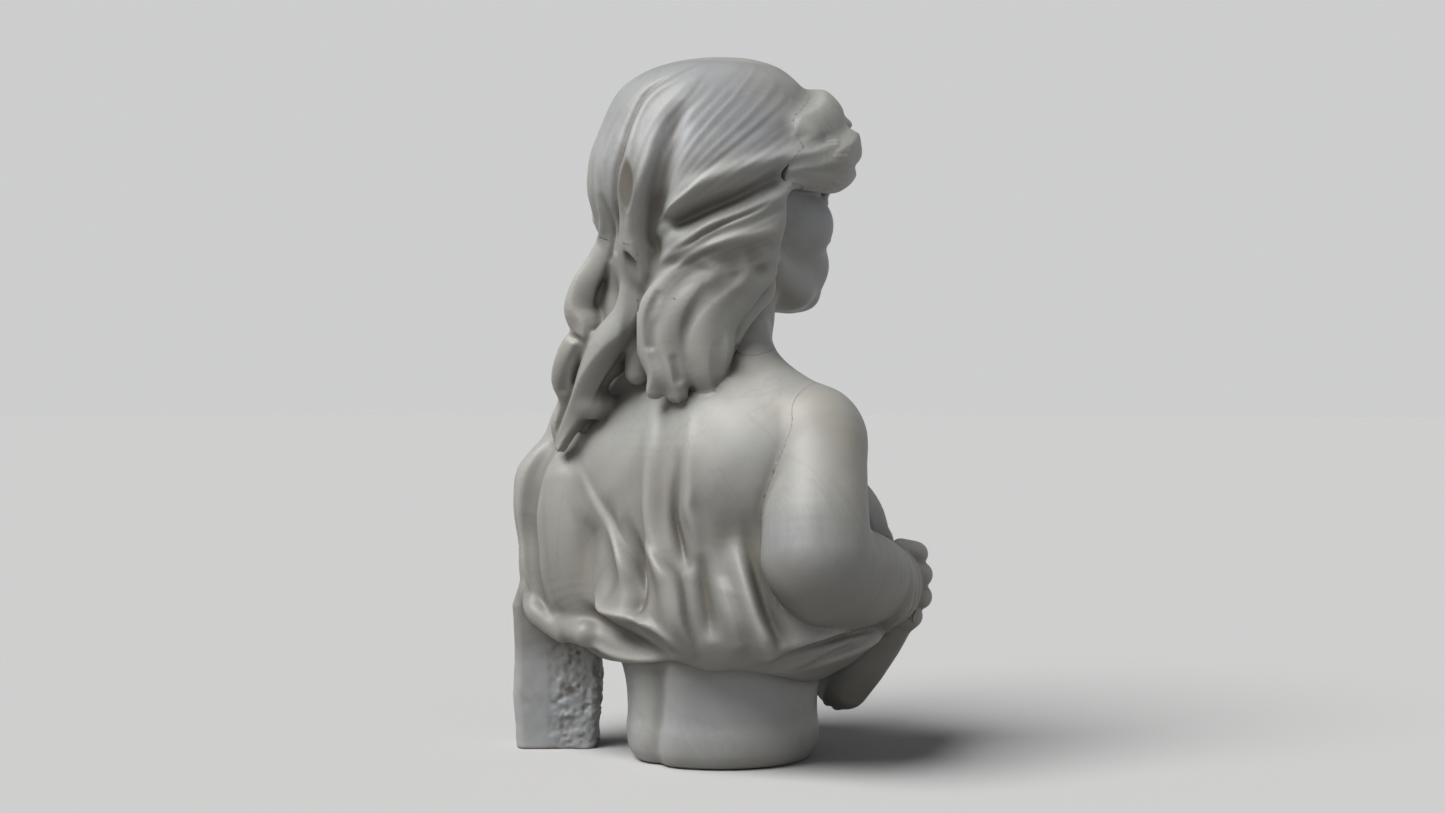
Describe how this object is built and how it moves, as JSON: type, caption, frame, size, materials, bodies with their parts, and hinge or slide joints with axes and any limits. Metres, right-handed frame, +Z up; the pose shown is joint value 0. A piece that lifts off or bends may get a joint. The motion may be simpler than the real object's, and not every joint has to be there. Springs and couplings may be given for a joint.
{
  "type": "marble bust",
  "caption": "Life-size draped female bust in grey-white marble, cut at the waist, with long hair, bent arms and a side strut.",
  "frame": {"origin": "centre of the waist socle's flat underside, at the mouth of its pin hole", "axes": "+Z up, the figure faces -Y, the figure's left hand is at +X"},
  "size_m": [0.4173, 0.3055, 0.6585],
  "materials": {
    "marble": "honed",
    "dowel_metal": "dull"
  },
  "bodies": {
    "root": {"waist_socle": "marble", "torso": "marble", "head": "marble", "hair_cap": "marble", "front_roll": "marble", "left_tress": "marble", "outer_tress": "marble", "nape_tress": "marble", "right_upper_arm": "marble", "right_forearm": "marble", "right_hand": "marble", "drapery_fall": "marble", "left_sleeve": "marble", "left_forearm": "marble", "side_strut": "marble", "socle_dowels": "dowel_metal", "neck_dowel": "dowel_metal", "hair_pins": "dowel_metal", "tress_pins": "dowel_metal", "right_shoulder_dowel": "dowel_metal", "right_elbow_dowel": "dowel_metal", "right_wrist_dowel": "dowel_metal", "fall_dowel": "dowel_metal", "left_shoulder_dowel": "dowel_metal", "left_elbow_dowel": "dowel_metal", "strut_dowels": "dowel_metal"}
  },
  "joints": []
}
